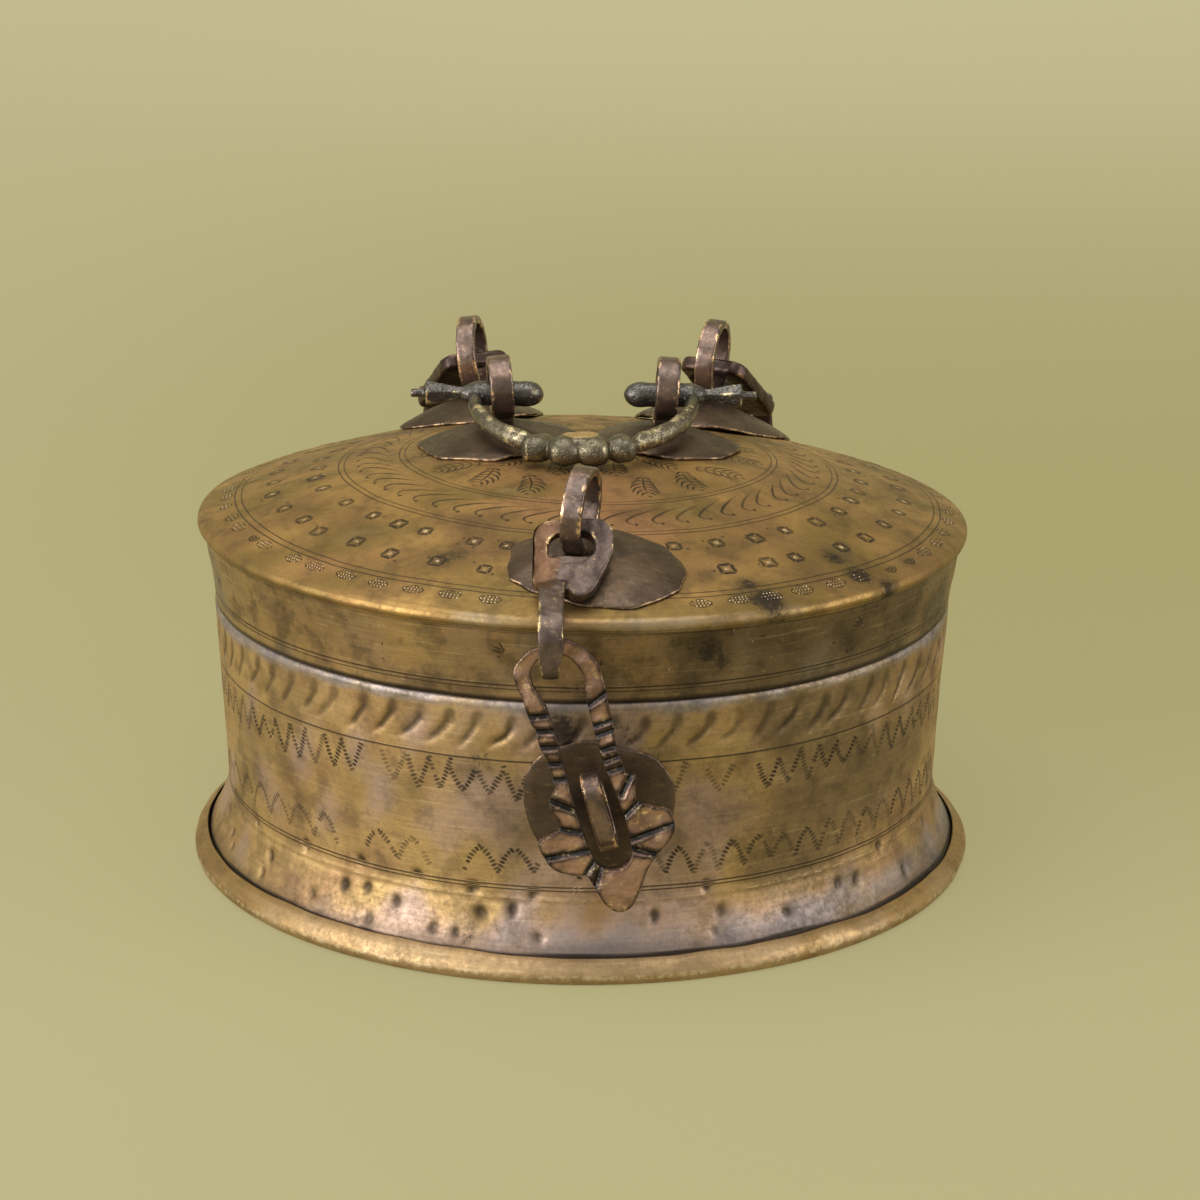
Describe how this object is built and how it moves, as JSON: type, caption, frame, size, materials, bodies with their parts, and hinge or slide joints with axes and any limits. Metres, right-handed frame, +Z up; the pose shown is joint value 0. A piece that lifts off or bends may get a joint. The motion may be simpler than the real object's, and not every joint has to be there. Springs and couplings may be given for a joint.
{
  "type": "paan box",
  "caption": "Round sheet-brass paan box: flared drum on a folded base, hinged domed lid, swinging bail handle, and a link with a slotted hasp that drops over a staple",
  "frame": {"origin": "centre of the flat underside, on the drum's axis", "axes": "+Z up along the drum's axis, -Y towards the hasp (front), +Y towards the hinges, +X to the right of someone facing the hasp"},
  "size_m": [0.17, 0.1779, 0.1069],
  "materials": {
    "body_brass": "aged, brushed",
    "rim_brass": "aged, worn bright",
    "lid_brass": "aged, engraved",
    "washer_brass": "aged, brushed",
    "staple_bronze": "dark, edges worn",
    "bail_bronze": "dark, crests worn bright",
    "link_bronze": "dark, edges worn",
    "hasp_brass": "warm, edges worn bright",
    "neck_brass": "satin"
  },
  "bodies": {
    "body": {"body_wall": "body_brass", "base_plate": "rim_brass", "neck_ring": "neck_brass", "lock_staple": "staple_bronze", "lock_washer": "washer_brass", "hinge_wall_staple_left": "staple_bronze", "hinge_wall_staple_right": "staple_bronze", "hinge_wall_washer_left": "washer_brass", "hinge_wall_washer_right": "washer_brass"},
    "lid": {"lid_dome": "lid_brass", "lid_skirt": "body_brass", "hasp_lid_staple": "staple_bronze", "hasp_lid_washer": "washer_brass", "bail_staple_left": "staple_bronze", "bail_staple_right": "staple_bronze", "bail_washer_left": "washer_brass", "bail_washer_right": "washer_brass", "hinge_lid_staple_left": "staple_bronze", "hinge_lid_staple_right": "staple_bronze", "hinge_lid_washer_left": "washer_brass", "hinge_lid_washer_right": "washer_brass"},
    "bail": {"bail": "bail_bronze"},
    "hinge_link_left": {"hinge_link_left": "link_bronze"},
    "hinge_link_right": {"hinge_link_right": "link_bronze"},
    "hasp_link": {"hasp_link": "link_bronze"},
    "hasp": {"hasp": "hasp_brass"}
  },
  "joints": [
    {"name": "lid_hinge", "type": "hinge", "parent": "body", "child": "lid", "pos_m": [0.00275, 0.07877, 0.045], "axis": [-0.9994, 0.0349, 0], "range_deg": [0, 105]},
    {"name": "hinge_swing_left", "type": "hinge", "parent": "body", "child": "hinge_link_left", "pos_m": [0.00275, 0.07877, 0.045], "axis": [-0.9994, 0.0349, 0], "range_deg": [0, 105]},
    {"name": "hinge_swing_right", "type": "hinge", "parent": "body", "child": "hinge_link_right", "pos_m": [0.00275, 0.07877, 0.045], "axis": [-0.9994, 0.0349, 0], "range_deg": [0, 105]},
    {"name": "bail_swing", "type": "hinge", "parent": "lid", "child": "bail", "pos_m": [0, 0.00699, 0.09848], "axis": [-1, 0, 0], "range_deg": [0, 170]},
    {"name": "hasp_link_swing", "type": "hinge", "parent": "lid", "child": "hasp_link", "pos_m": [0, -0.06402, 0.09256], "axis": [-1, 0, 0], "range_deg": [0, 100]},
    {"name": "hasp_swing", "type": "hinge", "parent": "hasp_link", "child": "hasp", "pos_m": [-0.0055, -0.088, 0.0705], "axis": [-1, 0, 0], "range_deg": [-13, 110]}
  ],
  "couplings": [
    {"joint": "hinge_swing_left", "follows": "lid_hinge", "ratio": 1},
    {"joint": "hinge_swing_right", "follows": "lid_hinge", "ratio": 1}
  ]
}
